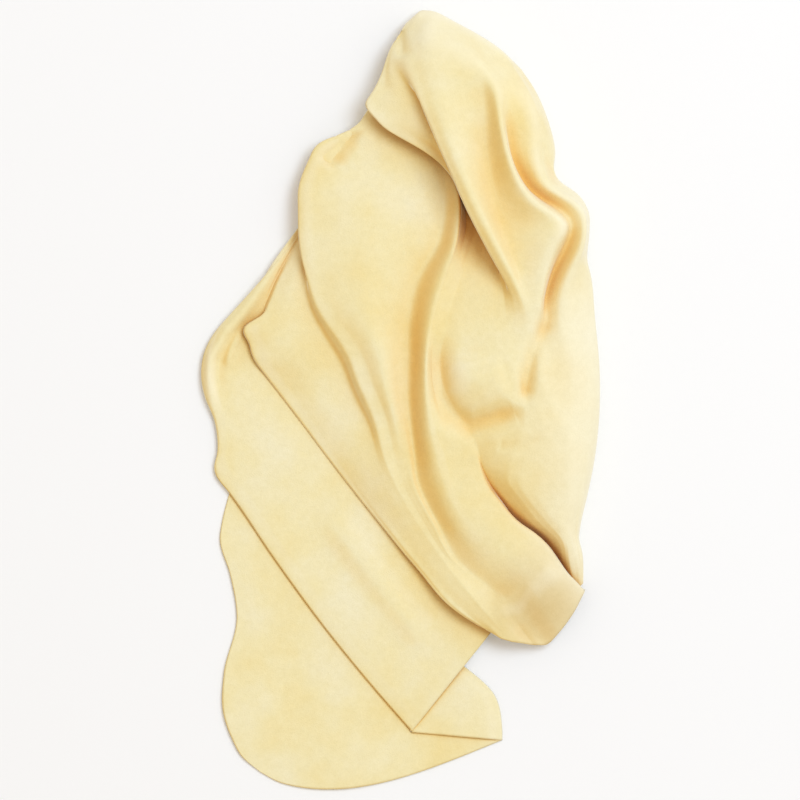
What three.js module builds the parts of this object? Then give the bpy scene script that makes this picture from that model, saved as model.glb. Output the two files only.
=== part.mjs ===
// Chamois leather: one natural skin, folded back and forth and dropped on a table.
// Millimetres, +Z up. The table is z = 0, X runs across the folds and Y along them.
import * as THREE from 'three';

// Driving sizes
const FOLDED_WIDTH = 250;   // outline of the folded skin, across the folds
const FOLDED_LENGTH = 483;  // and along them
const PILE_HEIGHT = 42.5;   // top of the hood above the table
const THICKNESS = 1.2;      // the leather
const FOLD_GAP = 1.2;       // air between two layers that lie on each other
const BEND_REACH = 1.8;     // how far a sharp fold stands out past the layers that it joins
const PLEAT_ROUND = 8;      // from the pleat's edge to the top of its rounded shoulder
const PLEAT_STEP = 2.5;     // the same where the pleat has opened out
const SHOULDER_RISE = 1.5;  // how far that shoulder stands above the edge
const PANEL_CROWN = 4;      // bulge of the raised panel
const LAP_CROWN = 2;        // bulge of the broad lap beside it
const GROOVE_LIP = 4;       // from the bottom of the long groove to its soft left lip
const GROOVE_DEPTH = 2;     // height of that lip
const HOOD_DEPTH = 12;      // leather hidden behind the long edge of the hood
const HOOD_SPREAD = 2.5;    // step between the same lines where the hood's edge has faded out
const HOOD_DROP = 4.5;      // from that edge down to the hidden fold behind it
const TAIL_BULGE = 17;      // how far the tail end bows out between its corners
const UNDER_REACH = 28;     // leather turned under along the right side
const NECK_REACH = 6;       // leather turned under along the top of the hood
const END_RUN = 2;          // last short stretch of the ends that aren't turned under

// Height of the middle of the leather where a layer lies on so many others
const LAYER_STEP = THICKNESS + FOLD_GAP;
const layer = (count) => THICKNESS / 2 + count * LAYER_STEP;

// Places along the skin, from its tail end (0) to its neck end (1), where the lines are read.
// All lines cross a belt at the waist and one at the collar, the lower layers further down.
// The lines are drawn on a net whose steps the folded sizes stretch or shrink together.
const STEP_ACROSS = FOLDED_WIDTH / 250;
const STEP_ALONG = FOLDED_LENGTH / 483;
const STEP_UP = PILE_HEIGHT / 42.5;
const STATIONS = [0, 0.14, 0.3, 0.42, 0.53, 0.63, 0.72, 0.8, 0.87, 0.94, 1];
const BELT_SHARES = [0.3, 0.72];
const UPPER_BELTS = [-40, 104];
const LOWER_BELTS = [-110, 55];

const { lerp, smoothstep } = THREE.MathUtils;

// A rail is one line of the skin from tail to neck, read at every station.
// Its points are net steps [x, y, rise], with the rise measured from the layer that the line lies on.
function rail(layersBelow, points, belts = UPPER_BELTS) {
  const lengthwise = points.map(([, y]) => y * STEP_ALONG);
  const crosswise = points.flatMap(([x, , rise = 0]) =>
    [x * STEP_ACROSS, layer(layersBelow) + rise * STEP_UP]);
  const curve = new THREE.CubicInterpolant(lengthwise, crosswise, 2, new Float32Array(2));
  const ends = [lengthwise[0], ...belts.map((y) => y * STEP_ALONG), lengthwise.at(-1)];
  const pace = new THREE.LinearInterpolant([0, ...BELT_SHARES, 1], ends, 1, new Float32Array(1));
  return STATIONS.map((u) => {
    const [y] = pace.evaluate(u);
    const [x, z] = curve.evaluate(y);
    return new THREE.Vector3(x, y, z);
  });
}

// The same rail moved across and up, by amounts that may change along the skin
function shifted(line, across, up) {
  return line.map((p, i) => new THREE.Vector3(p.x + across(STATIONS[i]), p.y, p.z + up(STATIONS[i])));
}

// A rail part of the way from one to another, bulging by a crown that may change along the skin
function between(a, b, share, crown = () => 0) {
  return a.map((p, i) => p.clone().lerp(b[i], share).add(new THREE.Vector3(0, 0, crown(STATIONS[i]))));
}

// A fold's edge with a rail close by on each side, so that the leather bends round it.
// Where the two sides double back on each other they are a layer apart, and where the fold
// has died out they run straight through. A rising fold leads from the lower side to the upper.
const RISING = 1;
const FALLING = -1;
function fold(before, edge, after, sense) {
  const ways = [before, after].map((side) => edge.map((p, i) => side[i].clone().sub(p)));
  const sharp = edge.map((_, i) =>
    Math.max(0, ways[0][i].clone().normalize().dot(ways[1][i].clone().normalize())));
  const beside = (way, sign) => edge.map((p, i) => {
    const step = way[i].clone().setLength(Math.min(BEND_REACH, way[i].length() / 2));
    step.z = step.z * (1 - sharp[i]) + sign * sense * sharp[i] * LAYER_STEP / 2;
    return p.clone().add(step);
  });
  return [beside(ways[0], -1), edge, beside(ways[1], 1)];
}

// The bottom layer lies on the table and shows its wavy cut edge on the left
const flankEdge = rail(0, [
  [-86, -231], [-108, -202], [-111, -185], [-102, -134], [-112, -88], [-106, -57], [-90, 0], [-70, 80],
  [-28, 160],
], LOWER_BELTS);

// Four folds carry the skin back and forth, each one layer higher
const lowFold = rail(0.5, [
  [63, -211], [62, -194], [50, -174], [19, -149], [-9, -96], [-26, -12], [-30, 63], [-10, 168],
], LOWER_BELTS);
const leftFold = rail(1.5, [
  [7, -207], [-62, -122], [-100, -69], [-116, -44], [-114, -31], [-124, 10], [-121, 36], [-92, 65],
  [-62, 108], [-46, 140], [-18, 170],
], LOWER_BELTS);
const hiddenFold = rail(2.5, [
  [62, -138], [32, -99], [-25, -22], [-56, 44], [-48, 82], [-30, 126], [0, 176],
]);
const lapFold = rail(3.5, [
  [57, -144, 1.5], [38, -133, 2], [0, -92, 1], [-72, 2, 0.5], [-92, 31, 1.2], [-98, 46, 2], [-84, 61, 0.5],
  [-62, 101, 0], [-52, 130, 0], [-24, 178, 0],
]);

// The bottom layer bows out at its tail end
const bottomMiddle = between(flankEdge, lowFold, 0.45).map((p, i) =>
  new THREE.Vector3(p.x, p.y - TAIL_BULGE * (1 - smoothstep(STATIONS[i], 0, 0.25)), layer(0)));

// Edge of the raised panel. The pleat behind it opens out towards the tail.
const pleatRoot = rail(4, [
  [64, -148.5, 1], [19, -99, 2.2], [-10.5, -40, 2.6], [-13, 0, 3.2], [-25, 29, 3], [-47, 69, 2.6],
  [-45, 100, 2.4], [-34, 130, 1.6], [-20, 165, 1.2], [-4, 196, 1],
]);
const pleatEdge = rail(4, [
  [70, -150.3, 1], [27, -99, 3.8], [-10, -40, 6], [-21, 0, 8], [-34, 29, 8.6], [-57, 69, 7.5],
  [-62, 116, 5.5], [-58, 147, 4], [-51, 161, 3.6], [-32, 170, 3.5], [-22, 181, 3.4], [-12, 196, 3.4],
]);
const underHood = (u) => smoothstep(u, 0.76, 0.88);
const raised = (u) => smoothstep(u, 0.28, 0.5);
const pleatShoulder = shifted(pleatEdge, (u) => lerp(PLEAT_STEP, PLEAT_ROUND, raised(u)),
  (u) => raised(u) * lerp(SHOULDER_RISE, LAYER_STEP, underHood(u)));
const lapMiddle = between(lapFold, pleatRoot, 0.45, (u) => LAP_CROWN * (1 - underHood(u)));

// The panel runs down to a long groove, where the ridge that widens into the cuff rises steeply
const groove = rail(4, [
  [88, -152, 1], [62, -121, 4], [24, -77, 4], [8, -33, 4.6], [5.2, 4, 6.2], [5.6, 49, 6.6], [16, 86, 5.6],
  [26, 107, 4.6], [26, 125, 4], [20, 165, 4], [14, 196, 4],
]);
const grooved = (u) => smoothstep(u, 0.1, 0.5) * (1 - smoothstep(u, 0.62, 0.76));
const grooveLip = shifted(groove, () => -GROOVE_LIP, (u) => GROOVE_DEPTH * grooved(u));
const panelMiddle = between(pleatShoulder, grooveLip, 0.5,
  (u) => PANEL_CROWN * raised(u) * (1 - underHood(u)));
const ridge = rail(4, [
  [93, -150.5, 1], [76, -118, 6.8], [31, -53, 12], [16, 1, 16.5], [19, 49, 18], [34, 88, 16.5],
  [36, 108, 10], [34, 122, 4.5], [27, 165, 4], [20, 196, 4],
]);

// The cuff laps over the lower right of the skin and turns back beneath itself
const cuffLip = rail(4, [
  [115.5, -118, 1], [100, -99, 10], [85, -82, 13.5], [70, -71, 14], [50, -43, 15], [34, -18, 16],
  [21, 10, 16.5], [19, 26, 17], [24, 50, 17], [38, 94, 12.5], [40, 108, 7], [40, 122, 4], [34, 165, 4],
  [27, 196, 4],
]);
const cuffRoot = rail(3, [
  [70, -126, -1], [60, -99, 1.5], [53, -62, 7], [49, -40, 11.5], [40, -14, 14.5], [27, 12, 15.5],
  [25, 26, 16], [29, 50, 16], [43, 94, 8], [47, 108, 6], [48, 122, 5.5], [41, 165, 5], [33, 196, 4],
]);

// The soft swelling right of the ridge runs up under the hood
const bowl = rail(0, [
  [80, -130, 1.5], [74, -86, 8], [63, -62, 16], [62, -30, 24.5], [52, 0, 27.5], [49, 26, 28.5], [49, 69, 25],
  [51, 98, 15.5], [56, 121, 13], [52, 165, 12.5], [42, 196, 12],
]);

// The hood's flap, with its free edge low over the raised panel
const flapRoot = rail(0, [
  [85, -130, 1.5], [80, -86, 10], [69, -62, 18.5], [69, -20, 26.5], [59, 39, 29.5], [60, 73, 25],
  [62, 104, 17], [66, 121, 16], [62, 165, 16.5], [50, 196, 17.5],
]);
const flapEdge = rail(0, [
  [88, -130, 2], [85, -86, 12], [75, -62, 20.5], [76, -20, 27.3], [66, 39, 29.3], [60.5, 73, 27.5],
  [53, 104, 21.5], [40, 122, 19.5], [31, 140, 20.5], [0, 164, 21.5], [-22, 184, 20], [-10, 210, 18],
  [3, 234, 8],
]);

// The long edge of the hood, which fades out both ways
const hoodEdge = rail(0, [
  [97, -128, 2.5], [92, -86, 13.5], [81, -62, 23.8], [84, -20, 28], [76, 12, 28.4], [74, 52, 29.5],
  [66, 73, 33], [47, 104, 36], [29, 144, 37], [11, 188, 35], [2, 222, 20.5], [13, 243, 8],
]);
const tucked = (u) => smoothstep(u, 0.605, 0.72) * (1 - smoothstep(u, 0.87, 0.96));
const lowered = (u) => smoothstep(u, 0.5, 0.64) * (1 - smoothstep(u, 0.9, 1));
const hoodRoot = shifted(hoodEdge, (u) => lerp(-HOOD_SPREAD, HOOD_DEPTH, tucked(u)),
  (u) => -HOOD_DROP * lowered(u));

// The hood and the right side: crest, valley, ridge, valley and ridge, from left to right
const hoodCrest = rail(0, [
  [100, -127, 2.5], [96, -86, 14.3], [87, -62, 25.3], [89, -20, 28.3], [80, 12, 28.8], [78, 58, 33],
  [56, 104, 39.5], [39, 141, 41.5], [25, 184, 39], [18, 226, 27], [20, 243, 8],
]);
const hoodValley = rail(0, [
  [103, -126, 3], [99, -86, 14.5], [93, -62, 25.8], [95, -20, 28.2], [84, 12, 28.8], [83, 50, 30],
  [76, 74, 33], [66, 110, 34.5], [53, 165, 36.5], [46, 213, 33], [34, 238, 8],
]);
const hoodRidge = rail(0, [
  [106, -124, 3.5], [102, -86, 14.5], [99, -62, 25.3], [100, -20, 27.8], [88, 13, 28.6], [88, 60, 29.5],
  [90, 95, 34], [80, 124, 39.5], [64, 163, 41.5], [56, 210, 33], [47, 230, 8],
]);
const sideValley = rail(0, [
  [108, -122, 4.8], [105, -86, 13.5], [105, -62, 23.5], [105, -20, 26.8], [93, 14, 27], [92, 56, 22],
  [101, 95, 24.5], [94, 120, 26], [74, 148, 29], [67, 190, 34], [56, 224, 8],
]);
const sideRidge = rail(0, [
  [110, -119, 5.6], [108, -86, 12], [111, -62, 19], [113, -20, 22.8], [104, 32, 25], [102, 63, 25],
  [108, 100, 27], [103, 125, 29], [86, 155, 30.5], [80, 188, 28], [64, 218, 8],
]);
const rightRim = rail(0, [
  [114, -114, 3.6], [112, -86, 6], [119, -43, 7.5], [124, 10, 7.5], [119, 72, 7.5], [116, 87, 7.5],
  [117, 119, 7.5], [99, 138, 7.5], [96, 152, 7.5], [92, 176, 7.5], [75, 206, 3],
]);

// The right side rolls under and ends flat on the table, with less turned under at its ends
const turnedUnder = (u) => UNDER_REACH * smoothstep(u, -0.2, 0.15) * (1 - smoothstep(u, 0.75, 1.1));
const farEdge = rightRim.map((p, i) => new THREE.Vector3(p.x - turnedUnder(STATIONS[i]), p.y, layer(0)));

const lyingRails = [
  flankEdge, bottomMiddle,
  ...fold(bottomMiddle, lowFold, leftFold, RISING),
  ...fold(lowFold, leftFold, hiddenFold, RISING),
  ...fold(leftFold, hiddenFold, lapFold, RISING),
  ...fold(hiddenFold, lapFold, lapMiddle, RISING),
  lapMiddle,
  ...fold(lapMiddle, pleatRoot, pleatEdge, RISING),
  ...fold(pleatRoot, pleatEdge, pleatShoulder, RISING),
  pleatShoulder, panelMiddle, grooveLip, groove, ridge,
  ...fold(ridge, cuffLip, cuffRoot, FALLING),
  ...fold(cuffLip, cuffRoot, bowl, FALLING),
  bowl,
  ...fold(bowl, flapRoot, flapEdge, RISING),
];
const hoodRails = [
  ...fold(flapRoot, flapEdge, hoodRoot, RISING),
  ...fold(flapEdge, hoodRoot, hoodEdge, RISING),
  ...fold(hoodRoot, hoodEdge, hoodCrest, RISING),
  hoodCrest, hoodValley, hoodRidge, sideValley, sideRidge,
];
const rimRails = [rightRim, farEdge];

// The hood's top end is turned under towards its middle, and the other ends run on a little
const HOOD_MIDDLE = new THREE.Vector3(40 * STEP_ACROSS, 180 * STEP_ALONG, 0);
for (const line of hoodRails) {
  const end = line.at(-1);
  const inward = HOOD_MIDDLE.clone().sub(end).setZ(0).setLength(NECK_REACH);
  line.push(end.clone().add(inward).setZ(layer(0.3)));
}
for (const line of [...lyingRails, ...rimRails]) {
  line.push(line.at(-1).clone().add(new THREE.Vector3(0, END_RUN, 0)));
}
const rails = [...lyingRails, ...hoodRails, ...rimRails];
const stations = STATIONS.length + 1;

// Direction of a run of points at one of them, also where the run doubles back there
function heading(before, here, after) {
  return here.clone().sub(before).normalize().add(after.clone().sub(here).normalize());
}

// Direction that faces out of the leather's upper side at each crossing of rail and station
function normalAt(r, s) {
  const here = rails[r][s];
  const across = heading(rails[Math.max(r - 1, 0)][s], here, rails[Math.min(r + 1, rails.length - 1)][s]);
  const along = heading(rails[r][Math.max(s - 1, 0)], here, rails[r][Math.min(s + 1, stations - 1)]);
  return across.cross(along).normalize();
}

// Both faces of the leather, half the thickness each side of the rails, closed along the cut edge
function sheetGeometry() {
  const count = rails.length * stations;
  const positions = [];
  for (const side of [1, -1]) {
    rails.forEach((line, r) => line.forEach((p, s) => {
      positions.push(...p.clone().addScaledVector(normalAt(r, s), side * THICKNESS / 2).toArray());
    }));
  }
  const at = (r, s, face) => face * count + r * stations + s;
  const index = [];
  const quad = (a, b, c, d) => index.push(a, b, c, a, c, d);
  const lastRail = rails.length - 1;
  const lastStation = stations - 1;
  for (let r = 0; r < lastRail; r += 1) {
    for (let s = 0; s < lastStation; s += 1) {
      quad(at(r, s, 0), at(r + 1, s, 0), at(r + 1, s + 1, 0), at(r, s + 1, 0));
      quad(at(r, s, 1), at(r, s + 1, 1), at(r + 1, s + 1, 1), at(r + 1, s, 1));
    }
  }
  for (let s = 0; s < lastStation; s += 1) {
    quad(at(0, s, 0), at(0, s + 1, 0), at(0, s + 1, 1), at(0, s, 1));
    quad(at(lastRail, s + 1, 0), at(lastRail, s, 0), at(lastRail, s, 1), at(lastRail, s + 1, 1));
  }
  for (let r = 0; r < lastRail; r += 1) {
    quad(at(r + 1, 0, 0), at(r, 0, 0), at(r, 0, 1), at(r + 1, 0, 1));
    quad(at(r, lastStation, 0), at(r + 1, lastStation, 0), at(r + 1, lastStation, 1), at(r, lastStation, 1));
  }
  const geometry = new THREE.BufferGeometry();
  geometry.setAttribute('position', new THREE.Float32BufferAttribute(positions, 3));
  geometry.setIndex(index);
  geometry.computeVertexNormals();
  return geometry;
}

const suede = new THREE.MeshStandardMaterial({ color: 0xf1e2b4, roughness: 0.95, metalness: 0 });

const skin = new THREE.Mesh(sheetGeometry(), suede);
skin.name = 'chamois_skin';

// The part stands on the middle of its own outline
const outline = new THREE.Box3().setFromObject(skin);
const middle = outline.getCenter(new THREE.Vector3());
skin.position.set(-middle.x, -middle.y, -outline.min.z);

const part = new THREE.Group();
part.add(skin);

export default part;
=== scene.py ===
"""Chamois leather: one natural skin, folded back and forth and dropped on a table.

The skin is drawn as lines that run from its tail end to its neck end, in millimetres: X across
the folds, Y along them, Z up from the table. The lines are lofted into one sheet of leather, soft
ridges and valleys are pressed into it, and both of its faces get a napped suede.
"""

import math

import bpy
import numpy as np
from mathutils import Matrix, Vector


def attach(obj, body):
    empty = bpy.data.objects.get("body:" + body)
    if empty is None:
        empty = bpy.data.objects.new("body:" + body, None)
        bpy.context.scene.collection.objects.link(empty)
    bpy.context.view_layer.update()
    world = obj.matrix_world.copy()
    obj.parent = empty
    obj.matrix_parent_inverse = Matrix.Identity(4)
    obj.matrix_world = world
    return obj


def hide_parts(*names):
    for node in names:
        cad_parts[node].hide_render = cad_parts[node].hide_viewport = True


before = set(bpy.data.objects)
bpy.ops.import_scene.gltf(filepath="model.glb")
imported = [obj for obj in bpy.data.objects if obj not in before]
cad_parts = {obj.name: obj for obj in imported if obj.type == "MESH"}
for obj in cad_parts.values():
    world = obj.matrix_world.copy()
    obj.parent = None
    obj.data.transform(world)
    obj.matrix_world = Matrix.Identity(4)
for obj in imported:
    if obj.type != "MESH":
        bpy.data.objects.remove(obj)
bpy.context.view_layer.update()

MM = 0.001

# The leather, and the gap between layers that lie on each other
THICKNESS = 1.2
FOLD_GAP = 0.3
LAYER_STEP = THICKNESS + FOLD_GAP

# The loft: stations along the skin, the widest step across it, and how often it is smoothed
STATIONS = 250
CROSS_STEP = 1.9
SMOOTHING = 3

# Places along the skin are shares of the way from its tail end, 0, to its neck end, 1
SHARES = np.linspace(0, 1, STATIONS)

# Share of the way from one line to the next
HALFWAY = 0.5

# All lines cross one belt at the waist and one at the collar, and the lower layers further down
BELT_SHARES = (0.3, 0.72)
UPPER_BELTS = (-40, 104)
LOWER_BELTS = (-110, 55)

# These keep divisions safe where lines meet
TINY = 1e-9
LEAST_SPAN = 1e-3


def layer(count):
    """Height of the middle of the leather where a layer lies on so many others."""
    return THICKNESS / 2 + count * LAYER_STEP


def ramp(low, high, at=SHARES):
    """Smooth rise from 0 to 1 between two places along the skin."""
    t = np.clip((at - low) / (high - low), 0, 1)
    return t * t * (3 - 2 * t)


def cubic(t, start, end, start_slope, end_slope):
    """Smooth curve between two values with given slopes, for t from 0 to 1."""
    return ((1 + 2 * t) * (1 - t) ** 2 * start + t * (1 - t) ** 2 * start_slope
            + t * t * (3 - 2 * t) * end + t * t * (t - 1) * end_slope)


def smooth_curve(where, values, at):
    """Piecewise cubic through values, with slopes weighted by the nearer neighbour."""
    gaps = np.diff(where)
    rates = np.diff(values) / gaps
    slopes = np.empty_like(values)
    slopes[0], slopes[-1] = rates[0], rates[-1]
    slopes[1:-1] = (rates[:-1] * gaps[1:] + rates[1:] * gaps[:-1]) / (gaps[:-1] + gaps[1:])
    k = np.clip(np.searchsorted(where, at, side="right") - 1, 0, len(gaps) - 1)
    t = (at - where[k]) / gaps[k]
    return cubic(t, values[k], values[k + 1], gaps[k] * slopes[k], gaps[k] * slopes[k + 1])


def rail(layers_below, points, belts=UPPER_BELTS):
    """One line of the skin from [x, y] or [x, y, rise] points, read at every station."""
    table = np.array([(*p, 0)[:3] for p in points], float)
    y = np.interp(SHARES, (0, *BELT_SHARES, 1), (table[0, 1], *belts, table[-1, 1]))
    x = smooth_curve(table[:, 1], table[:, 0], y)
    z = layer(layers_below) + smooth_curve(table[:, 1], table[:, 2], y)
    return np.stack([x, y, z], 1)


def shifted(line, across=0.0, along=0.0, up=0.0):
    """The same line moved, by amounts that may change along the skin."""
    move = np.stack(np.broadcast_arrays(across, along, up, SHARES)[:3], 1)
    return line + move


def between(a, b, share, up=0.0):
    """A line part of the way from one to another, raised by a crown."""
    return shifted(a + (b - a) * share, up=up)


def blend(a, b, shares):
    """A line that changes from one to another along the skin."""
    return a + (b - a) * shares[:, None]


def unit(vectors):
    """The same directions, each of length 1."""
    return vectors / (np.linalg.norm(vectors, axis=-1, keepdims=True) + TINY)


# Whether the skin climbs or sinks on its way through a fold
RISING, FALLING = 1, -1

# A sharp fold is pressed flat. Its sides lie so far from its edge, so many layers apart there, and
# at most at this share of the way to the next line.
FOLD_SIDES = ((8, 1, 0.35), (1.5, 0.3, 0.18))

# How far its edge is pressed down, in layers, and how far it is moved out
FOLD_PRESS = 0.35
EDGE_KEEP = 1.5


def fold(before, edge, after, sense):
    """A fold's edge with lines close by on each side, so that the leather bends round it.

    The edge itself is moved out by what the later smoothing takes off a sharp fold.
    """
    ways = [before - edge, after - edge]
    sharp = np.maximum(0, (unit(ways[0]) * unit(ways[1])).sum(1))
    outward = -unit((unit(ways[0]) + unit(ways[1])) * (1, 1, 0))
    sides = []
    for way, sign in zip(ways, (-1, 1)):
        length = np.linalg.norm(way, axis=1)
        for reach, apart, most in FOLD_SIDES:
            step = unit(way) * np.minimum(reach, length * most)[:, None]
            pressed = (1 - apart) * FOLD_PRESS * LAYER_STEP
            lift = sign * sense * apart * LAYER_STEP / 2 - pressed
            step[:, 2] = step[:, 2] * (1 - sharp) + sharp * lift
            sides.append(edge + step)
    edge[1:-1] += (outward * EDGE_KEEP * sharp[:, None])[1:-1]
    edge[:, 2] -= sharp * FOLD_PRESS * LAYER_STEP
    return [sides[0], sides[1], edge, sides[3], sides[2]]


# The bottom layer lies on the table and shows its wavy cut edge on the left
flank_edge = rail(0, [
    [-87, -232], [-98, -223], [-105, -211], [-110, -197], [-110, -170], [-102, -136], [-106, -109],
    [-112.5, -86], [-111, -75], [-107, -59], [-90, 0], [-70, 80], [-28, 160],
], LOWER_BELTS)

# Four folds carry the skin back and forth, each one layer higher. A fold's edge lies halfway between
# the layers that it joins.
low_fold = rail(0.5, [
    [63.5, -212], [63, -203], [61, -190], [58, -183], [50, -174.5], [42, -168], [19, -149],
    [-9, -96], [-26, -12], [-30, 63], [-10, 168],
], LOWER_BELTS)
left_fold = rail(1.5, [
    [7, -207, -0.4], [-14, -183, -0.5], [-46, -144, -0.5], [-79, -99, -0.5], [-107, -58, -0.2],
    [-115.5, -47], [-117, -42], [-115, -34], [-115, -22], [-117, -11], [-122, 1], [-124.8, 17],
    [-123, 29], [-114, 44.7], [-100, 58], [-93, 64], [-82, 82], [-62.8, 108.8], [-46, 140],
    [-18, 170],
], LOWER_BELTS)
hidden_fold = rail(2.5, [
    [62, -138, 2], [32, -99, 1], [-25, -22, 0], [-60, 30, 0], [-77, 49, 0.3], [-84, 56, 0.3],
    [-82, 64, 0.3], [-74, 82, 0.3], [-63.5, 100.6, 0.3], [-47, 130, 0], [-10, 176, 0],
])
lap_fold = rail(3.5, [
    [57, -144, 7], [37.5, -132.5, 7.5], [10.6, -104, 3.2], [-12.5, -76, 0.7], [-38, -44, -0.4],
    [-65, -8, -0.5], [-84, 17, 0.3], [-90.5, 26, 1.8], [-93.5, 36, 2.8], [-96.5, 46.5, 3],
    [-86, 53, 3], [-81.5, 61, 2.2], [-75, 76, 1], [-67, 90, 0.5], [-60, 102, 0], [-45, 130, -1],
    [-8, 180, -1],
])

# The bottom layer bows out at its tail end, most a little left of its middle
TAIL_BULGE = 17.5
TAIL_SKEW = 0.75
TAIL_FADE = 0.3
BOTTOM_SHARES = (0.08, 0.2, 0.35, 0.5, 0.65, 0.8, 0.92)


def bottom_line(share):
    """A line of the bottom layer, at a share of the way from the cut edge to the first fold."""
    bow = TAIL_BULGE * math.sin(math.pi * share ** TAIL_SKEW)
    line = shifted(between(flank_edge, low_fold, share), along=-bow * (1 - ramp(0, TAIL_FADE)))
    line[:, 2] = layer(0)
    return line


bottom_lines = [bottom_line(share) for share in BOTTOM_SHARES]

# Edge of the raised panel. The pleat behind it opens out towards the tail.
LAP_SHARE = 0.45
LAP_CROWN = 1
SHOULDER_RISE = 1.2
SHOULDER_STEP = 8
SHOULDER_SHARE = 0.3
PANEL_CROWN = 4
PANEL_RISE = (0.28, 0.5)
HOOD_COVER = (0.76, 0.88)
pleat_root = rail(0, [
    [64, -148.5, 14], [40, -124, 14.8], [19, -99, 11], [-13, -40, 12], [-21, -12, 11],
    [-27, 0, 10.3], [-37.5, 25, 10], [-49.5, 45, 10], [-55, 57, 10], [-58, 70, 10], [-50, 96, 9.8],
    [-38, 130, 9], [-20, 165, 8], [-4, 196, 8],
])
pleat_edge = rail(0, [
    [70, -150.3, 13.5], [47, -124, 16.2], [27, -99, 12.8], [-8, -40, 14], [-17, -9.4, 16.6],
    [-21.6, 1.3, 17.5], [-26.6, 12.5, 17.6], [-31, 25.6, 17.3], [-38, 38, 17], [-44.6, 47, 16.8],
    [-51, 57, 16.6], [-56, 70.6, 16.2], [-62, 96, 15.3], [-63, 118, 14.5], [-62.5, 134, 13],
    [-56, 151, 12], [-52.5, 158, 11.8], [-48, 162, 11.8], [-38, 165.5, 11.2], [-30.6, 169, 10.7],
    [-20, 180.6, 10], [-12, 196, 10],
])
under_hood = ramp(*HOOD_COVER)
raised = ramp(*PANEL_RISE)
lap_middle = between(lap_fold, pleat_root, LAP_SHARE, LAP_CROWN * raised * (1 - under_hood))

# The panel runs down to a long crease, where the ridge that widens into the cuff rises steeply. The
# crease's lip widens beside the raised panel.
LOW_LIP = 2.5
HIGH_LIP = 6
CREASE_DEPTH = 1.4
CREASE_START = (0.02, 0.3)
CREASE_END = (0.66, 0.8)
crease = rail(0, [
    [86, -152.3, 11], [62, -122, 13.2], [36, -99.7, 12.4], [23.4, -76.3, 12.4], [17.2, -65, 12.5],
    [11.3, -51.3, 12.8], [8.9, -33, 13.4], [6.7, -14.8, 14.5], [5.1, 3.8, 15.6], [5.3, 26.4, 16],
    [5.6, 49, 16], [6.6, 57.2, 16], [10.6, 73.8, 15.8], [16.9, 86.3, 15.5], [23, 96.6, 15],
    [26.3, 107, 14.5], [28, 119, 14], [28, 132, 13.2], [20, 165, 12], [14, 196, 11],
])
creased = ramp(*CREASE_START) * (1 - ramp(*CREASE_END))
lip_width = LOW_LIP + (HIGH_LIP - LOW_LIP) * raised
crease_lip = shifted(crease, across=-lip_width, up=CREASE_DEPTH * creased)
low_shoulder = between(pleat_edge, crease, SHOULDER_SHARE)
high_shoulder = shifted(pleat_edge, across=SHOULDER_STEP, up=SHOULDER_RISE)
pleat_shoulder = blend(low_shoulder, high_shoulder, raised)
panel_crown = PANEL_CROWN * raised * (1 - under_hood)
panel_middle = between(pleat_shoulder, crease_lip, HALFWAY, panel_crown)
ridge = rail(0, [
    [91.5, -152, 9.5], [68, -114, 15.8], [40, -82, 19], [26, -52, 21.5], [19, -25, 23.8],
    [16, 5, 26], [16.5, 32, 27], [17.8, 46, 27], [20.8, 60, 26.8], [26.8, 79, 26], [30.8, 88, 25.3],
    [34.3, 98, 24], [36, 108, 22.5], [37, 121, 20], [34, 140, 14.5], [27, 165, 12], [20, 196, 11],
])

# The cuff laps over the lower right of the skin and turns back beneath itself
CUFF_BULGE = 1.5
CUFF_CROWN = 2.5
CUFF_SHARES = (0.3, 0.65)
CUFF_FADE = (0.05, 0.34)
HEM_FADE = (0, 0.12)
cuff_lip = rail(0, [
    [115.5, -118, 8.5], [111, -113, 11.5], [106, -108, 13.5], [99.4, -98.8, 16],
    [92.5, -89.4, 17.5], [84.4, -82, 18.5], [75, -76, 19.5], [69.4, -71, 19.7], [62, -62.5, 19.6],
    [55, -54.4, 19.9], [50, -43, 20.9], [47, -33, 22.3], [34, -18, 24.2], [22, 10, 25.3],
    [20.5, 26, 25.6], [25, 50, 25.3], [38, 94, 20], [41, 108, 15.5], [40, 122, 13.5],
    [34, 165, 12.5], [27, 196, 12],
])
cuff_root = rail(0, [
    [88, -128, 2.5], [76, -99, 5], [79, -86, 5.5], [72, -76, 10.5], [63, -62, 14.5], [55, -50, 17],
    [50.5, -40, 19.5], [48, -28, 22.2], [40, -14, 23.6], [27, 12, 24.4], [25.5, 26, 24.7],
    [30, 50, 24.5], [43, 94, 17.5], [47, 108, 14], [48, 122, 12.5], [41, 165, 11], [33, 196, 10],
])
cuff_crown = CUFF_CROWN * (1 - ramp(*CUFF_FADE))
hem_bulge = CUFF_BULGE * (1 - ramp(*HEM_FADE))
cuff_lines = [
    shifted(between(ridge, cuff_lip, share, cuff_crown), across=hem_bulge, along=-hem_bulge)
    for share in CUFF_SHARES
]

# The soft swelling right of the ridge runs up under the hood
bowl = rail(0, [
    [98, -124, 1], [90, -99, 5], [87, -86, 9], [77, -76, 13], [66.5, -62, 17.4], [59, -50, 19.6],
    [56, -40, 21.8], [60, -28, 24.8], [52, 0, 27], [48, 26, 27.3], [49, 69, 24.5], [51, 98, 16.5],
    [56, 121, 14], [52, 165, 12.5], [42, 196, 12],
])

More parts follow.
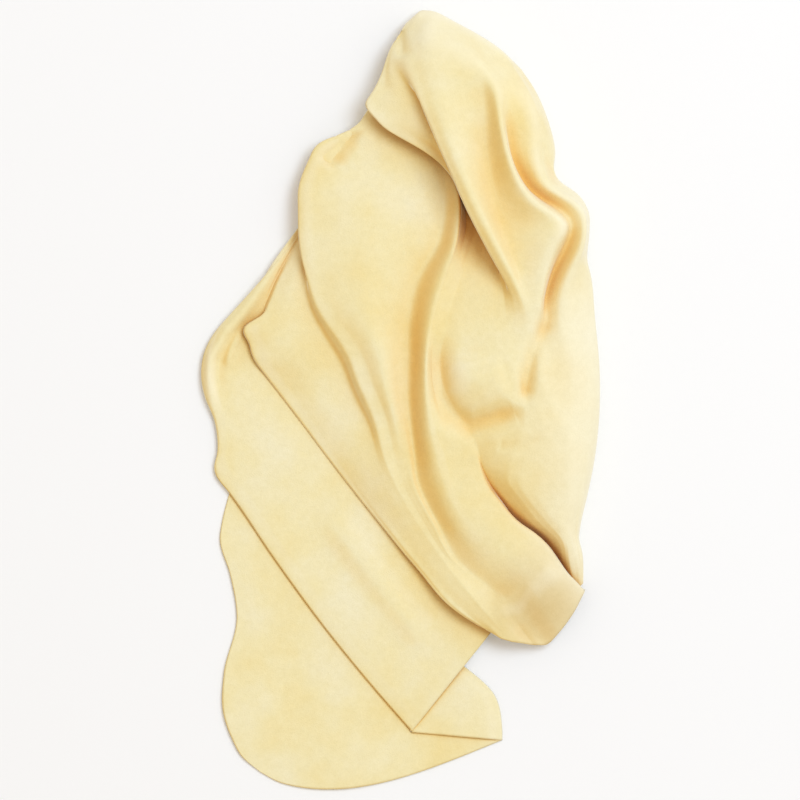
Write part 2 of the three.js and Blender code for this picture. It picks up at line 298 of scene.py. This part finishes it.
# The hood's flap, with its free edge low over the raised panel
flap_root = rail(0, [
    [104, -122, 1.5], [98, -99, 8], [93, -86, 14], [82, -76, 17.3], [71, -62, 20.3], [63, -50, 22],
    [62, -40, 24], [69, -20, 27], [59, 39, 28.5], [62, 73, 25], [62, 104, 18], [66, 121, 16],
    [62, 165, 15.5], [50, 196, 15.5],
])
flap_edge = rail(0, [
    [106, -121, 2], [101.5, -99, 11], [98, -86, 17.3], [87, -76, 20.5], [76, -62, 23.3],
    [67.5, -50, 24.6], [68, -40, 26], [76, -20, 28], [66, 39, 28.8], [64, 73, 26.3], [53, 104, 21],
    [44, 116, 20], [37.6, 126, 20.5], [31, 140.6, 22], [21, 151, 23.3], [12, 157, 23.8],
    [-0.4, 164, 24], [-10, 169.5, 24], [-16.5, 176.5, 23], [-21, 181.5, 21.5], [-23.2, 184.8, 20.5],
    [-19.5, 190, 20], [-12.5, 203, 17.5], [-6.3, 219.4, 14], [3.5, 235, 8],
])

# The long edge of the hood, and the leather tucked in beneath it, which fades out both ways
HOOD_DEPTH = 12
HOOD_DROP = 7.5
TUCK_START = (0.605, 0.72)
TUCK_END = (0.86, 0.95)
hood_edge = rail(0, [
    [107.5, -120, 2.6], [104, -99, 12.5], [101, -86, 18.5], [92.5, -76, 22.3], [81, -62, 25.2],
    [74, -50, 26.4], [77, -40, 27.2], [84, -20, 28.3], [76, 12, 28.6], [74, 45, 29], [72, 57, 30],
    [70, 65, 31.5], [66, 73, 33.5], [56, 90, 36.3], [49.4, 102, 37.5], [40, 120.6, 38.5],
    [31.3, 141, 39], [24.4, 156, 39], [16.3, 175, 37.8], [10.6, 189, 35.8], [4, 211, 27.5],
    [4.5, 226, 18.5], [13.5, 244, 8],
])
tucked = ramp(*TUCK_START) * (1 - ramp(*TUCK_END))
smooth_root = between(flap_edge, hood_edge, HALFWAY)
tucked_root = shifted(hood_edge, across=HOOD_DEPTH, up=-HOOD_DROP)
hood_root = blend(smooth_root, tucked_root, tucked)

# The hood and the right side: crest, valley, ridge, valley and ridge, from left to right
hood_crest = rail(0, [
    [109, -119, 3], [105.5, -99, 13], [103, -86, 18.3], [96, -76, 22.6], [87, -62, 25.9],
    [82, -50, 27], [83, -40, 27.6], [89, -20, 28.6], [80, 12, 28.8], [77, 58, 31.3], [71, 74, 35.8],
    [62.5, 91, 39], [56, 104, 40.3], [44, 129, 41.3], [39, 141, 41.6], [33, 157, 41.5],
    [25, 184, 39.3], [18, 213, 33], [17.5, 230, 24], [21.5, 243, 8],
])
hood_valley = rail(0, [
    [110, -118, 3.3], [107, -99, 12.5], [105, -86, 17.5], [99.5, -76, 22.4], [93, -62, 25.8],
    [95, -20, 28.2], [84, 12, 28.8], [82.5, 50, 30], [76, 74, 32.5], [68, 95, 33], [61, 116, 32.5],
    [57.5, 132, 32.8], [54, 157, 34], [52.5, 187, 36], [46, 213, 33], [34, 236.5, 8],
])
hood_ridge = rail(0, [
    [111, -117, 3.6], [108.5, -99, 11.5], [106.3, -86, 16.5], [102, -76, 21.5], [99, -62, 25.3],
    [100, -20, 27.8], [88, 13, 28.6], [87, 58, 29], [89, 72, 31], [91.5, 84, 33], [95.5, 96, 35.5],
    [99.5, 104, 36.8], [100.5, 110, 37.4], [95, 115.5, 38], [87, 120.5, 39], [81, 126, 40],
    [73, 138, 41.2], [67, 154, 41.9], [63, 172, 41.6], [60, 195, 38.3], [47, 229.5, 8],
])
side_valley = rail(0, [
    [112, -116, 3.8], [110, -99, 10.5], [107, -86, 15], [105, -62, 23.5], [105, -20, 26.8],
    [93, 14, 27], [92, 42, 24.5], [92, 51, 23.5], [90, 60, 22], [91.5, 70, 21.5], [96, 83, 22.5],
    [101.5, 94, 24.8], [105.5, 104, 27.2], [106, 111, 29], [100.5, 117.5, 29], [92, 122.5, 28],
    [82.5, 129, 28.4], [75, 139, 29.3], [69.8, 151, 31.2], [67.5, 164, 33], [67, 190, 34],
    [56, 224, 8],
])
side_ridge = rail(0, [
    [113, -115, 3.8], [111.7, -99, 8.5], [109.5, -86, 12], [111, -62, 19], [113, -20, 22.8],
    [107, 14, 24.5], [103, 36, 25.3], [101, 55, 25], [102, 68, 25.5], [107.5, 82, 27.5],
    [113.5, 96, 30], [115, 107, 31], [114, 116, 31], [109, 123, 31], [102, 127.5, 30.8],
    [94, 132, 30.5], [86.5, 144, 31], [84, 155, 31], [82, 185, 29], [64, 218, 8],
])
right_rim = rail(0, [
    [114, -114, 3.6], [113.4, -95, 5.5], [111.3, -85, 6], [112, -79, 6.4], [117, -57, 7],
    [121, -37, 7.5], [124.5, 0, 7.5], [124.4, 19, 7.5], [121.6, 51, 7.5], [118.6, 79.4, 7.5],
    [116.6, 87, 7.5], [117.6, 104, 7.5], [117, 119, 7.5], [110, 129.5, 7.5], [99, 137, 7.5],
    [96.3, 142, 7.5], [96.6, 156, 7.5], [92, 175, 7.5], [82, 197, 7], [75, 207, 4],
])

# The side swells between its ridge and its rim: at which shares of the way, and by how much of the
# crown there
SIDE_CROWN = 3.5
SIDE_SWELLS = ((0.35, 0.8), (0.7, 1))
SIDE_START = (0, 0.2)
SIDE_END = (0.9, 1)


def side_slope(share, swell):
    """A line of the side, at a share of the way from its ridge to its rim."""
    crown = SIDE_CROWN * swell * ramp(*SIDE_START) * (1 - ramp(*SIDE_END))
    return between(side_ridge, right_rim, share, crown)


side_slopes = [side_slope(share, swell) for share, swell in SIDE_SWELLS]

# The right side rolls under and ends flat on the table, with less turned under at its ends. Its
# steps go so far inward, and lie so high over the bottom layer.
UNDER_STEPS = ((0.5, 4.5), (2.5, 2), (8, 0.6), (28, 0))
TURN_START = (-0.2, 0.15)
TURN_END = (0.75, 1.1)
turned = ramp(*TURN_START) * (1 - ramp(*TURN_END))


def under_line(inward, height):
    """The right rim carried on beneath itself."""
    line = shifted(right_rim, across=-inward * turned)
    line[:, 2] = np.minimum(line[:, 2], layer(0) + height)
    return line


under_lines = [under_line(inward, height) for inward, height in UNDER_STEPS]

# All lines in their order across the skin, from its cut edge to its end under the right side
lying_lines = [
    flank_edge, *bottom_lines,
    *fold(bottom_lines[-1], low_fold, left_fold, RISING),
    *fold(low_fold, left_fold, hidden_fold, RISING),
    *fold(left_fold, hidden_fold, lap_fold, RISING),
    *fold(hidden_fold, lap_fold, lap_middle, RISING),
    lap_middle,
    *fold(lap_middle, pleat_root, pleat_edge, RISING),
    *fold(pleat_root, pleat_edge, pleat_shoulder, RISING),
    pleat_shoulder, panel_middle, crease_lip, crease, ridge, *cuff_lines,
    *fold(cuff_lines[-1], cuff_lip, cuff_root, FALLING),
    *fold(cuff_lip, cuff_root, bowl, FALLING),
    bowl,
    *fold(bowl, flap_root, flap_edge, RISING),
]
hood_lines = [
    *fold(flap_root, flap_edge, hood_root, RISING),
    *fold(flap_edge, hood_root, hood_edge, RISING),
    *fold(hood_root, hood_edge, hood_crest, RISING),
    hood_crest, hood_valley, hood_ridge, side_valley, side_ridge,
]
rim_lines = [*side_slopes, right_rim, *under_lines]
lines = [*lying_lines, *hood_lines, *rim_lines]

# The hood's top end is turned under towards its middle, in steps that go so far inward and lie so
# high. The other ends run on a little.
HOOD_MIDDLE = np.array([40, 180, 0])
NECK_TURN = ((-0.6, 5.5), (-0.4, 3), (2, 1.4), (7, 0.9), (14, 0.8))
END_STEP = 0.5
STRAIGHT, TURNED_UNDER = 0, 1


def with_end(line, inward_share):
    """The line with its neck end carried on, turned under by the given share."""
    end = line[-1]
    inward = unit((HOOD_MIDDLE - end) * (1, 1, 0))
    steps = []
    for i, (reach, height) in enumerate(NECK_TURN):
        under = end + inward * reach
        under[2] = min(end[2], height)
        onward = end + np.array([0, END_STEP * (i + 1), 0])
        steps.append(onward + (under - onward) * inward_share)
    return np.concatenate([line, steps])


def loft(net):
    """Smooth curves across the lines at every station, and the row that each line lies on."""
    padded = np.concatenate([2 * net[:1] - net[1:2], net, 2 * net[-1:] - net[-2:-1]])
    widest = np.linalg.norm(np.diff(net, axis=0), axis=2).max(1)
    rows = []
    starts = []
    for i, width in enumerate(widest):
        p0, p1, p2, p3 = padded[i:i + 4]
        a, b, c = (np.sqrt(np.linalg.norm(q - p, axis=1) + LEAST_SPAN)[:, None]
                   for p, q in ((p0, p1), (p1, p2), (p2, p3)))
        start = ((p1 - p0) / a - (p2 - p0) / (a + b) + (p2 - p1) / b) * b
        end = ((p2 - p1) / b - (p3 - p1) / (b + c) + (p3 - p2) / c) * b
        count = max(1, round(width / CROSS_STEP))
        starts.append(len(rows))
        for t in np.arange(count) / count:
            rows.append(cubic(t, p1, p2, start, end))
    starts.append(len(rows))
    rows.append(net[-1])
    return np.stack(rows), starts


def neighbours(values, span=1):
    """Mean of the four places so many steps away, without the border where one is missing."""
    inner = slice(span, -span)
    return (values[:-2 * span, inner] + values[2 * span:, inner]
            + values[inner, :-2 * span] + values[inner, 2 * span:]) / 4


ended_lines = [with_end(line, STRAIGHT) for line in lying_lines]
ended_lines += [with_end(line, TURNED_UNDER) for line in (*hood_lines, *rim_lines)]
sheet, starts = loft(np.stack(ended_lines))
for _ in range(SMOOTHING):
    sheet[1:-1, 1:-1] = neighbours(sheet)

# Soft ridges and valleys are pressed into the sheet. They fade over so many rows beside the lines
# that bound them, and over this share of their length at each end.
ZONE_FADE = 4
SOFT_FADE = 16
STROKE_FADE = 0.22


def row_of(line):
    """The row of the sheet that a line lies on."""
    return starts[next(i for i, other in enumerate(lines) if other is line)]


def nearest(x, y, points):
    """Distance in plan to a line of points, and how far along it the nearest place lies."""
    gap = np.full(x.shape, np.inf)
    along = np.zeros(x.shape)
    points = np.asarray(points, float)
    for i, (a, b) in enumerate(zip(points[:-1], points[1:])):
        way = b - a
        t = np.clip(((x - a[0]) * way[0] + (y - a[1]) * way[1]) / way.dot(way), 0, 1)
        here = np.hypot(x - a[0] - t * way[0], y - a[1] - t * way[1])
        along = np.where(here < gap, (i + t) / (len(points) - 1), along)
        gap = np.minimum(gap, here)
    return gap, along


def press(first, last, height, width, points, fade=ZONE_FADE):
    """A soft ridge, or with a height below zero a valley, in the skin between two of its lines."""
    zone = sheet[row_of(first):row_of(last) + 1]
    gap, along = nearest(zone[..., 0], zone[..., 1], points)
    rows_in = np.minimum(np.arange(len(zone)), np.arange(len(zone))[::-1])
    inside = np.clip(rows_in / fade, 0, 1)[:, None]
    ends = ramp(0, STROKE_FADE, along) * ramp(0, STROKE_FADE, 1 - along)
    zone[..., 2] += height * np.exp(-(gap / width) ** 2) * ends * inside


# The second layer's rolled rim, a little ridge by the lap's corner, and a long swell beside the lap
press(left_fold, hidden_fold, height=3.6, width=4, points=[
    [-117, -20], [-119, -8], [-120.5, 12], [-118.5, 27], [-109, 43], [-97, 57], [-86, 72],
    [-74, 92], [-62, 112],
])
press(left_fold, hidden_fold, height=1.6, width=2.5, points=[[-99, 44], [-105, 33], [-109, 20]])
press(left_fold, hidden_fold, height=2.2, width=9, points=[
    [-52, -62], [-22, -102], [4, -135], [20, -155],
])

# The drawn-in corner of the raised panel
press(pleat_edge, crease, height=-3.2, width=6, points=[
    [-48, 146], [-43, 152], [-35, 160], [-27, 171],
])

# The swelling's crown, the soft fold under it, its right border, and a wrinkle below it
press(ridge, side_valley, height=2.5, width=13, points=[[38, 30], [43, 15], [54, 11], [68, 16]])
press(ridge, right_rim, height=-5, width=7.5, points=[
    [23, 47], [23.5, 30], [24, 15], [25, 2], [32, -9], [44, -15], [58, -11], [71, -7], [82, 0],
], fade=SOFT_FADE)
press(ridge, right_rim, height=-4.2, width=5, points=[
    [89, 60], [87.5, 45], [83, 31], [79.5, 17], [78, 6], [74, -4],
])
press(bowl, right_rim, height=-0.6, width=3.5, points=[[58, -26], [66, -29], [76, -28], [92, -20]])

# The cuff's bend above its hem, a dent in the right side, and a dimple where the hood's edge starts
press(pleat_edge, cuff_lip, height=2.8, width=8, points=[
    [56, -132], [68, -129], [80, -120], [92, -109], [100, -102],
])
press(side_ridge, right_rim, height=-2, width=3.5, points=[
    [87, 162], [90, 152], [94, 142], [97, 134],
])
press(flap_edge, hood_crest, height=-2.2, width=3.5, points=[[-1, 230], [1.2, 224], [3, 212]])

# The cuff falls away at its hem, most halfway between the crease and the cuff's lip
HEM_DROP = 3
HEM_REACH = 0.06
first, last = row_of(pleat_edge), row_of(cuff_lip)
lowest = (row_of(crease) + last) / 2
hem_rows = np.arange(first, last)
hem_weight = ramp(first, lowest, hem_rows) * (1 - ramp(lowest, last, hem_rows))
sheet[first:last, :STATIONS, 2] -= HEM_DROP * hem_weight[:, None] * (1 - ramp(0, HEM_REACH))

# The whole pile lies in slight long waves. Two waves cross, with these lengths in X and Y for each
# radian, and the second starts later.
SWELL = 0.5
FIRST_X, FIRST_Y = 17, 41
SECOND_X, SECOND_Y = 37, 23
SECOND_START = 1
x = sheet[..., 0]
y = sheet[..., 1]
waves = np.sin(x / FIRST_X + y / FIRST_Y) * np.sin(y / SECOND_Y - x / SECOND_X + SECOND_START)
sheet[..., 2] += SWELL * (1 + waves)
sheet[..., 2] = np.maximum(sheet[..., 2], layer(0))

# Both faces of the leather, half the thickness each side, closed along the cut edge
across = unit(np.gradient(sheet, axis=0))
along = unit(np.gradient(sheet, axis=1))
facing = unit(np.cross(across, along))
rows, columns = sheet.shape[:2]
half = facing * THICKNESS / 2
corners = np.concatenate([sheet + half, sheet - half]).reshape(-1, 3)
corners[:, 2] = np.maximum(corners[:, 2], 0)
grid = np.arange(rows * columns).reshape(rows, columns)
under = grid + rows * columns


def quads(a, b, c, d):
    """Faces with four corners from four grids of corner numbers."""
    return np.stack([a, b, c, d], -1).reshape(-1, 4)


faces = np.concatenate([
    quads(grid[:-1, :-1], grid[1:, :-1], grid[1:, 1:], grid[:-1, 1:]),
    quads(under[:-1, :-1], under[:-1, 1:], under[1:, 1:], under[1:, :-1]),
    quads(grid[0, :-1], grid[0, 1:], under[0, 1:], under[0, :-1]),
    quads(grid[-1, 1:], grid[-1, :-1], under[-1, :-1], under[-1, 1:]),
    quads(grid[1:, 0], grid[:-1, 0], under[:-1, 0], under[1:, 0]),
    quads(grid[:-1, -1], grid[1:, -1], under[1:, -1], under[:-1, -1]),
])

# How far each place lies below the leather so many steps around it, as a share of a deep hollow,
# limited and spread out. It is above 0 in hollows and below 0 on ridges.
HOLLOW_SPAN = 4
HOLLOW_DEPTH = 1.6
HOLLOW_LIMIT = 1.5
HOLLOW_SPREAD = 6
around_frame = ((HOLLOW_SPAN, HOLLOW_SPAN), (HOLLOW_SPAN, HOLLOW_SPAN), (0, 0))
around = neighbours(np.pad(sheet, around_frame, mode="edge"), HOLLOW_SPAN)
hollow = ((around - sheet) * facing).sum(2) / HOLLOW_DEPTH
hollow = np.clip(hollow, -HOLLOW_LIMIT, HOLLOW_LIMIT)
for _ in range(HOLLOW_SPREAD):
    hollow = neighbours(np.pad(hollow, 1, mode="edge"))

# Left of the cuff, the values move on by so many rows, past each crease, so that the painted shade
# lies on the slope beyond it
LYING_SHIFT = 4
cuff_row = row_of(cuff_lines[0])
hollow[:cuff_row] = np.roll(hollow, LYING_SHIFT, axis=0)[:cuff_row]


def placed(name, data):
    """A new object in the scene."""
    made = bpy.data.objects.new(name, data)
    bpy.context.scene.collection.objects.link(made)
    return made


# From the origin of the drawn lines to the part's own
PART_SHIFT = np.array([0.41, -2.29, 0])
mesh = bpy.data.meshes.new("chamois_leather")
mesh.from_pydata(((corners + PART_SHIFT) * MM).tolist(), [], faces.tolist())
mesh.shade_smooth()
# The hollow values say where shade is painted into the creases and highlight onto the ridges
mesh.attributes.new("hollow", "FLOAT", "POINT").data.foreach_set(
    "value", np.concatenate([hollow.ravel(), -hollow.ravel()]).astype(np.float32))
skin = placed("chamois_leather", mesh)

# The noises that the suede is made of: scale, detail and roughness
CLOUD_NOISE = (17.0, 5.0, 0.55)
NAP_NOISE = (1100.0, 3.0, 0.7)
TUFT_NOISE = (240.0, 4.0, 0.65)

# Its colours lie in clouds. A paler colour serves both for rubbed leather and for painted highlights
PALE = (0.925, 0.855, 0.595)
CREAM = (0.915, 0.81, 0.475)
OCHRE = (0.90, 0.745, 0.355)
CLOUDS = ((0.3, PALE), (0.5, CREAM), (0.72, OCHRE))
WEAR_AND_HIGHLIGHT = (0.95, 0.89, 0.69)

# The fibres of the nap and its tufts, from sunken to raised: shade, roughness, and relief in metres
FIBRE_RANGE = (0.7, 1.3)
FIBRE_SHADES = ((0, (0.93, 0.92, 0.88)), (1, (1, 1, 1)))
FIBRE_ROUGHNESS = (0.98, 0.86)
FIBRE_RELIEF = 0.0006
RELIEF_STRENGTH = 0.4

# A faint gloss, and the soft sheen of suede
SPECULAR = 0.1
SHEEN = 0.25
SHEEN_ROUGHNESS = 0.5

# Painted highlight on the lower right, where it faces the light: where it starts and is full, in
# metres
PAINTED_HIGHLIGHT = (0.94, 0.89, 0.71)
HIGHLIGHT_X = (0.065, 0.11)
HIGHLIGHT_Y = (0.09, 0.05)
HIGHLIGHT_SHARE = 0.5

# Painted shade by the cuff's hem, which slopes from the light: middle, full part and reach, in metres
PAINTED_HEM_SHADE = (0.76, 0.58, 0.27)
HEM_SHADE_PLACE = (0.09, -0.132, 0.01)
HEM_SHADE_REACH = (0.004, 0.045)
HEM_SHADE_SHARE = 0.9

# Painted shade on slopes that face this way, away from the key light, and a painted highlight on
# those that face the key
AWAY_FROM_KEY = (-0.79, -0.61, 0)
SLOPE_SHADE_PAINT = (0.99, 0.87, 0.64)
SHADED_SLOPE_RANGE = (0.1, 0.6)
LIT_SLOPE_RANGE = (-0.08, -0.6)
LIT_SLOPE_SHARE = 0.2

# Painted shade deepens hollows; ridges are paler, partly rubbed and partly a painted highlight
CREASE_SHADE_PAINT = (0.97, 0.78, 0.47)
HOLLOW_RANGE = (0.05, 0.9)
RIDGE_RANGE = (-0.2, -1.1)
RIDGE_SHARE = 0.6

# Painted shade in the folds: what is left of the colours, from covered to open leather, within this
# reach in metres. It is weaker on upright leather, and upright edges get a painted highlight.
FOLD_REACH = 0.026
FOLD_SAMPLES = 8
FOLD_SHADE_PAINTS = (
    (0.1, (0.4, 0.15, 0.05)),
    (0.4, (0.72, 0.4, 0.17)),
    (0.7, (0.97, 0.83, 0.6)),
    (0.95, (1, 1, 1)),
)
LEVEL_RANGE = (0.1, 0.7)
LEVEL_SHARES = (0.3, 1.0)
UPRIGHT_HIGHLIGHT_RANGE = (0.4, 0.1)
UPRIGHT_HIGHLIGHT_SHARE = 0.75


def suede():
    """Napped leather: cream with ochre clouds, a short soft nap, and painted shade and highlights."""
    material = bpy.data.materials.new("suede")
    material.use_nodes = True
    tree = material.node_tree
    shader = tree.nodes["Principled BSDF"]

    def node(kind, settings=(), **sockets):
        made = tree.nodes.new(kind)
        for name, value in dict(settings).items():
            setattr(made, name, value)
        for name, value in sockets.items():
            join(value, made.inputs[name.replace("_", " ")])
        return made

    def join(value, socket):
        if isinstance(value, bpy.types.NodeSocket):
            tree.links.new(value, socket)
        else:
            socket.default_value = value

    def operated(kind, operation, first, second):
        made = node(kind, {"operation": operation})
        join(first, made.inputs[0])
        join(second, made.inputs[1])
        return made.outputs["Value"]

    def noise(scale, detail, roughness):
        made = node("ShaderNodeTexNoise", Vector=place, Scale=scale, Detail=detail,
                    Roughness=roughness)
        return made.outputs["Fac"]

    def colour_ramp(factor, *stops):
        made = node("ShaderNodeValToRGB", Fac=factor)
        elements = made.color_ramp.elements
        while len(elements) < len(stops):
            elements.new(0.5)
        for element, (position, colour) in zip(elements, stops):
            element.position = position
            element.color = (*colour, 1)
        return made.outputs["Color"]

    def mapped(value, span, to=(0.0, 1.0)):
        made = node("ShaderNodeMapRange", Value=value, From_Min=span[0], From_Max=span[1],
                    To_Min=to[0], To_Max=to[1])
        return made.outputs["Result"]

    def blended(kind, factor, first, second):
        made = node("ShaderNodeMix", {"data_type": "RGBA", "blend_type": kind})
        first_socket, second_socket = [s for s in made.inputs if s.type == "RGBA"]
        join(factor, made.inputs[0])
        join(first, first_socket)
        join(second, second_socket)
        return next(s for s in made.outputs if s.type == "RGBA")

    coordinates = node("ShaderNodeTexCoord")
    place = coordinates.outputs["Object"]
    outward = coordinates.outputs["Normal"]
    place_parts = node("ShaderNodeSeparateXYZ", Vector=place).outputs
    levelness = node("ShaderNodeSeparateXYZ", Vector=outward).outputs["Z"]
    slope = operated("ShaderNodeVectorMath", "DOT_PRODUCT", outward, AWAY_FROM_KEY)
    hollowness = node("ShaderNodeAttribute", {"attribute_name": "hollow"}).outputs["Fac"]
    openness = node("ShaderNodeAmbientOcclusion", {"samples": FOLD_SAMPLES, "only_local": True},
                    Distance=FOLD_REACH).outputs["AO"]
    fibres = operated("ShaderNodeMath", "ADD", noise(*NAP_NOISE), noise(*TUFT_NOISE))

    # Own colours and nap, with light and shade painted in by place, by slope and by shape
    tone = colour_ramp(noise(*CLOUD_NOISE), *CLOUDS)
    # Painted highlight on the lower right
    painted_highlight = operated("ShaderNodeMath", "MULTIPLY",
                     mapped(place_parts["X"], HIGHLIGHT_X, (0.0, HIGHLIGHT_SHARE)),
                     mapped(place_parts["Y"], HIGHLIGHT_Y))
    tone = blended("MIX", painted_highlight, tone, (*PAINTED_HIGHLIGHT, 1))
    # Painted shade by the cuff's hem
    to_hem_shade = operated("ShaderNodeVectorMath", "DISTANCE", place, HEM_SHADE_PLACE)
    tone = blended("MIX", mapped(to_hem_shade, HEM_SHADE_REACH, (HEM_SHADE_SHARE, 0.0)), tone, (*PAINTED_HEM_SHADE, 1))
    shade = colour_ramp(mapped(fibres, FIBRE_RANGE), *FIBRE_SHADES)
    tone = blended("MULTIPLY", 1.0, tone, shade)
    # Painted shade on slopes turned from the key light, painted highlight on slopes facing it
    tone = blended("MULTIPLY", mapped(slope, SHADED_SLOPE_RANGE), tone, (*SLOPE_SHADE_PAINT, 1))
    tone = blended("MIX", mapped(slope, LIT_SLOPE_RANGE, (0.0, LIT_SLOPE_SHARE)), tone, (*WEAR_AND_HIGHLIGHT, 1))
    # Painted shade in the hollows
    tone = blended("MULTIPLY", mapped(hollowness, HOLLOW_RANGE), tone, (*CREASE_SHADE_PAINT, 1))
    # Painted shade in the folds, weaker on upright leather
    fold_shade_paint = colour_ramp(openness, *FOLD_SHADE_PAINTS)
    tone = blended("MULTIPLY", mapped(levelness, LEVEL_RANGE, LEVEL_SHARES), tone, fold_shade_paint)
    # Ridges paler, partly rubbed and partly a painted highlight
    tone = blended("MIX", mapped(hollowness, RIDGE_RANGE, (0.0, RIDGE_SHARE)), tone, (*WEAR_AND_HIGHLIGHT, 1))
    # Painted highlight on upright edges
    tone = blended("MIX", mapped(levelness, UPRIGHT_HIGHLIGHT_RANGE, (0.0, UPRIGHT_HIGHLIGHT_SHARE)), tone, (*WEAR_AND_HIGHLIGHT, 1))
    join(tone, shader.inputs["Base Color"])

    join(mapped(fibres, FIBRE_RANGE, FIBRE_ROUGHNESS), shader.inputs["Roughness"])
    bump = node("ShaderNodeBump", Strength=RELIEF_STRENGTH, Distance=FIBRE_RELIEF, Height=fibres)
    join(bump.outputs["Normal"], shader.inputs["Normal"])

    shader.inputs["Specular IOR Level"].default_value = SPECULAR
    shader.inputs["Sheen Weight"].default_value = SHEEN
    shader.inputs["Sheen Roughness"].default_value = SHEEN_ROUGHNESS
    return material


mesh.materials.append(suede())
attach(skin, "root")
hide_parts("chamois_skin")


def shows_background(tree):
    """1 for a ray that shows the background: from the camera, mirrored, or through glass."""
    light_path = tree.nodes.new("ShaderNodeLightPath")
    shown = light_path.outputs["Is Camera Ray"]
    for kind in ("Is Glossy Ray", "Is Transmission Ray"):
        either = tree.nodes.new("ShaderNodeMath")
        either.operation = "MAXIMUM"
        tree.links.new(shown, either.inputs[0])
        tree.links.new(light_path.outputs[kind], either.inputs[1])
        shown = either.outputs["Value"]
    return shown


# Plain pale floor, a little lighter where it shows as the background
WHITE = (1, 1, 1, 1)
FLOOR_SIZE = 6
FLOOR_COLOUR = (0.88, 0.88, 0.88, 1)
FLOOR_ROUGHNESS = 0.9
FLOOR_LIFT = 0.05
bpy.ops.mesh.primitive_plane_add(size=FLOOR_SIZE)
floor = bpy.context.object
floor.name = "floor"
floor_material = bpy.data.materials.new("pale_floor")
floor_material.use_nodes = True
floor_tree = floor_material.node_tree
floor_shader = floor_tree.nodes["Principled BSDF"]
floor_shader.inputs["Base Color"].default_value = FLOOR_COLOUR
floor_shader.inputs["Roughness"].default_value = FLOOR_ROUGHNESS
floor_shader.inputs["Emission Color"].default_value = WHITE
floor_seen = floor_tree.nodes.new("ShaderNodeMath")
floor_seen.operation = "MULTIPLY"
floor_seen.inputs[1].default_value = FLOOR_LIFT
floor_tree.links.new(shows_background(floor_tree), floor_seen.inputs[0])
floor_tree.links.new(floor_seen.outputs["Value"], floor_shader.inputs["Emission Strength"])
floor.data.materials.append(floor_material)

# Camera straight above, in metres, with the picture spanning half a metre of the table. The picture's
# middle lies a little up from the origin of the drawn lines, in millimetres.
CAMERA_HEIGHT = 6
VIEW_SPAN = 0.5
VIEW_UP = 0.6
SENSOR_WIDTH = 36
camera_data = bpy.data.cameras.new("camera")
camera_data.sensor_width = SENSOR_WIDTH
camera_data.lens = SENSOR_WIDTH * CAMERA_HEIGHT / VIEW_SPAN
camera = placed("camera", camera_data)
camera.location = (PART_SHIFT[0] * MM, (VIEW_UP + PART_SHIFT[1]) * MM, CAMERA_HEIGHT)
bpy.context.scene.camera = camera

# One large, slightly cool softbox from the upper right, and a slightly warm fill from all round
KEY_PLACE = (1.7, 1.3, 3.7)
KEY_SIZE = 2.2
KEY_POWER = 108
KEY_COLOUR = (0.71, 0.84, 1.0)
FILL_COLOUR = (1.0, 0.894, 0.766, 1)
FILL_STRENGTH = 0.7
key_light = bpy.data.lights.new("key", "AREA")
key_light.size = KEY_SIZE
key_light.energy = KEY_POWER
key_light.color = KEY_COLOUR
key = placed("key", key_light)
key.location = KEY_PLACE
key.rotation_euler = (-Vector(KEY_PLACE)).to_track_quat("-Z", "Y").to_euler()

# The fill lights the leather, and a white backdrop shows behind it
world = bpy.data.worlds.new("studio")
world.use_nodes = True
sky = world.node_tree
fill = sky.nodes["Background"]
fill.inputs["Color"].default_value = FILL_COLOUR
fill.inputs["Strength"].default_value = FILL_STRENGTH
backdrop = sky.nodes.new("ShaderNodeBackground")
backdrop.inputs["Color"].default_value = WHITE
choice = sky.nodes.new("ShaderNodeMixShader")
sky.links.new(shows_background(sky), choice.inputs[0])
sky.links.new(fill.outputs[0], choice.inputs[1])
sky.links.new(backdrop.outputs[0], choice.inputs[2])
sky.links.new(choice.outputs[0], sky.nodes["World Output"].inputs["Surface"])
bpy.context.scene.world = world
bpy.context.scene.view_settings.view_transform = "Standard"

bpy.context.view_layer.update()
